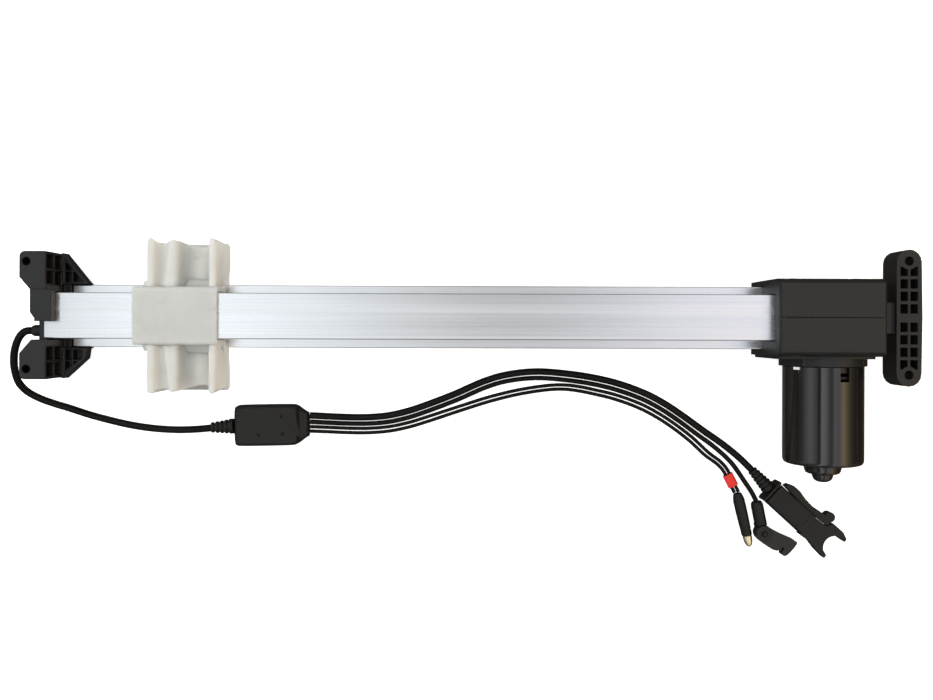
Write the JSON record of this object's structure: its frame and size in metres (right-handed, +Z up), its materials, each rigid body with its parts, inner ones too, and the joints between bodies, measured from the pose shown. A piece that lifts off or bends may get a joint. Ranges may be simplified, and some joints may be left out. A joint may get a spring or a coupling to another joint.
{
  "type": "single-rail linear actuator",
  "caption": "Single-rail linear actuator for reclining furniture: a worm-geared motor turns a lead screw that drives a slider along an aluminium rail, with leads and plugs.",
  "frame": {"origin": "middle of the rear mounting head, on its top bolting face, above the lead screw axis", "axes": "+X along the rail from the front bracket to the rear mounting head, +Z up out of the rear head's bolting face, motor on the -Y side"},
  "size_m": [0.6862, 0.2463, 0.072],
  "materials": {
    "aluminium_rail": "extruded, satin",
    "white_pom": "moulded acetal",
    "black_nylon": "moulded glass-filled nylon",
    "gloss_black_can": "glossy black enamel",
    "cable_pvc": "matt PVC sheath",
    "plug_plastic": "moulded PVC",
    "steel": "turned",
    "brass_tip": "plated",
    "copper": "enamelled wire",
    "amber_plastic": "moulded",
    "ferrite": "sintered",
    "red_sleeve": "soft PVC"
  },
  "bodies": {
    "base": {"guide_rail": "aluminium_rail", "motor_connector": "white_pom", "front_bracket": "black_nylon", "cable_gland": "black_nylon", "gear_housing_far_half": "black_nylon", "gear_housing_motor_half": "black_nylon", "rear_mounting_head": "black_nylon", "limit_switch_front": "black_nylon", "limit_switch_rear": "black_nylon", "motor_can": "gloss_black_can", "main_cable": "cable_pvc", "din_cable": "cable_pvc", "angled_plug_cable": "cable_pvc", "small_plug_wire_a": "cable_pvc", "small_plug_wire_b": "cable_pvc", "rail_harness": "cable_pvc", "cable_strain_relief": "cable_pvc", "din_plug_strain_relief": "cable_pvc", "junction_box": "plug_plastic", "din_plug_body": "plug_plastic", "din_plug_fork_clip": "plug_plastic", "din_plug_lever": "plug_plastic", "angled_plug_body": "plug_plastic", "small_plug_body": "plug_plastic", "can_tab": "steel", "housing_screw_1": "steel", "housing_screw_2": "steel", "housing_screw_3": "steel", "housing_screw_4": "steel", "screw_bearing_front": "steel", "screw_bearing_rear": "steel", "motor_front_plate": "steel", "motor_screw_1": "steel", "motor_screw_2": "steel", "motor_bearing_front": "steel", "motor_bearing_end": "steel", "worm_bearing": "steel", "front_screw_bush": "brass_tip", "small_plug_tip": "brass_tip", "brush_front": "copper", "brush_rear": "copper", "brush_card": "amber_plastic", "magnet_front": "ferrite", "magnet_rear": "ferrite", "red_band": "red_sleeve"},
    "slider": {"slider_block": "white_pom", "drive_nut": "amber_plastic"},
    "spindle": {"lead_screw": "steel", "worm_wheel": "amber_plastic", "wheel_lock_nut": "steel"},
    "armature": {"motor_shaft": "steel", "armature_core": "steel", "armature_windings_front": "copper", "armature_windings_end": "copper", "commutator": "copper", "worm": "steel"},
    "plug_clip": {"angled_plug_clip": "plug_plastic"}
  },
  "joints": [
    {"name": "slider_travel", "type": "slide", "parent": "base", "child": "slider", "axis": [1, 0, 0], "range_m": [-0.035, 0.375]},
    {"name": "spindle_spin", "type": "hinge", "parent": "base", "child": "spindle", "pos_m": [-0.05, 0, -0.0115], "axis": [1, 0, 0], "continuous": true},
    {"name": "armature_spin", "type": "hinge", "parent": "base", "child": "armature", "pos_m": [-0.0522, 0, -0.0275], "axis": [0, 1, 0], "continuous": true},
    {"name": "clip_pivot", "type": "hinge", "parent": "base", "child": "plug_clip", "pos_m": [-0.09033, -0.16957, -0.05], "axis": [0, 0, 1], "range_deg": [-28, 0]}
  ],
  "couplings": [
    {"joint": "spindle_spin", "follows": "slider_travel", "rad_per_m": -698.13},
    {"joint": "armature_spin", "follows": "slider_travel", "rad_per_m": 16755}
  ]
}
